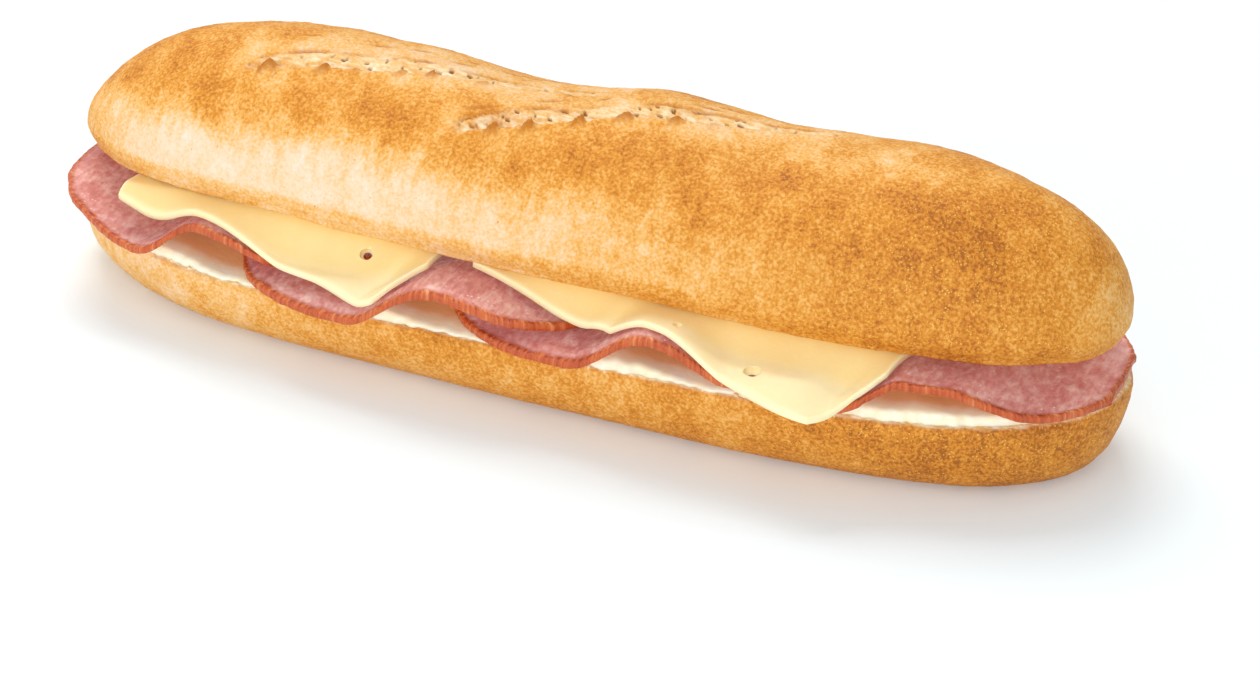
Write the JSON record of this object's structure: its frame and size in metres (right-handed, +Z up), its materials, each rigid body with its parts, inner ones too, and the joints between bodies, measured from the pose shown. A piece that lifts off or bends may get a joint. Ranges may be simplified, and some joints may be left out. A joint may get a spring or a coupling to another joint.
{
  "type": "submarine sandwich",
  "caption": "Short baguette cut through along its length, filled with wavy slices of smoked ham, sliced cheese and a creamy spread, with scores across the crown.",
  "frame": {"origin": "centre of the sandwich's bounding box in plan, on the surface that it stands on", "axes": "+X along the loaf, +Z up, and the side where the filling hangs out faces -Y"},
  "size_m": [0.26, 0.0816, 0.0654],
  "materials": {
    "crust": "golden baked crust, stands in as matte plastic",
    "ham": "moist smoked ham, stands in as gloss plastic",
    "cheese": "soft sliced cheese, stands in as gloss plastic",
    "spread": "glossy creamy spread, stands in as gloss plastic"
  },
  "bodies": {
    "root": {"bread_bottom": "crust", "bread_top": "crust", "spread_layer": "spread", "ham_slice_1": "ham", "ham_slice_2": "ham", "ham_slice_3": "ham", "ham_slice_4": "ham", "cheese_slice_1": "cheese", "cheese_slice_2": "cheese"}
  },
  "joints": []
}
